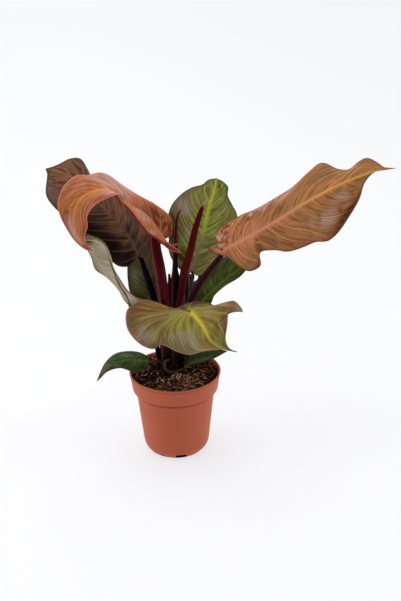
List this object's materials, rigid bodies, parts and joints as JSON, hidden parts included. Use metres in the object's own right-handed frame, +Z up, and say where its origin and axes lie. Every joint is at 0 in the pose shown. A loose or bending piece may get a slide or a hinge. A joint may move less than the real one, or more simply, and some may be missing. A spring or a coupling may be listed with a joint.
{
  "type": "potted philodendron",
  "caption": "Potted foliage plant: broad heart-shaped leaves on tall stalks round two rolled new leaves, in a round plastic nursery pot filled with soil.",
  "frame": {"origin": "centre of the pot's flat underside", "axes": "+Z up the pot's axis; the plant's front faces -Y and its longest leaf reaches towards +X"},
  "size_m": [0.4229, 0.1461, 0.4058],
  "materials": {
    "pot_plastic": "terracotta-coloured plastic, satin",
    "potting_soil": "damp crumbly potting mix of bark and peat",
    "crown": "dull woody stem",
    "blade_salmon": "satin leaf, salmon to olive with an orange midrib",
    "blade_orange": "glossy young leaf, orange",
    "blade_maroon": "glossy leaf, dark maroon green",
    "blade_green": "glossy mature leaf, dark green",
    "blade_grey": "leaf underside, grey green",
    "blade_bronze": "satin leaf, bronze olive with a yellow midrib",
    "stalk_maroon": "glossy dark maroon stalk",
    "stalk_red": "glossy crimson stalk",
    "stalk_green": "satin green stalk",
    "new_leaf_crimson": "satin rolled leaf, deep crimson"
  },
  "bodies": {
    "root": {"pot": "pot_plastic", "soil": "potting_soil", "crown": "crown", "right_blade": "blade_salmon", "right_stalk": "stalk_maroon", "left_front_blade": "blade_orange", "left_front_stalk": "stalk_red", "left_back_blade": "blade_maroon", "left_back_stalk": "stalk_maroon", "back_blade": "blade_green", "back_stalk": "stalk_maroon", "back_right_blade": "blade_green", "back_right_stalk": "stalk_green", "back_left_blade": "blade_green", "back_left_stalk": "stalk_green", "left_pale_blade": "blade_grey", "left_pale_stalk": "stalk_maroon", "front_blade": "blade_bronze", "front_stalk": "stalk_red", "low_left_blade": "blade_green", "low_left_stalk": "stalk_red", "low_right_blade": "blade_green", "low_right_stalk": "stalk_green", "rolled_leaf_tall": "new_leaf_crimson", "rolled_leaf_thin": "new_leaf_crimson", "old_sheath": "new_leaf_crimson"}
  },
  "joints": []
}
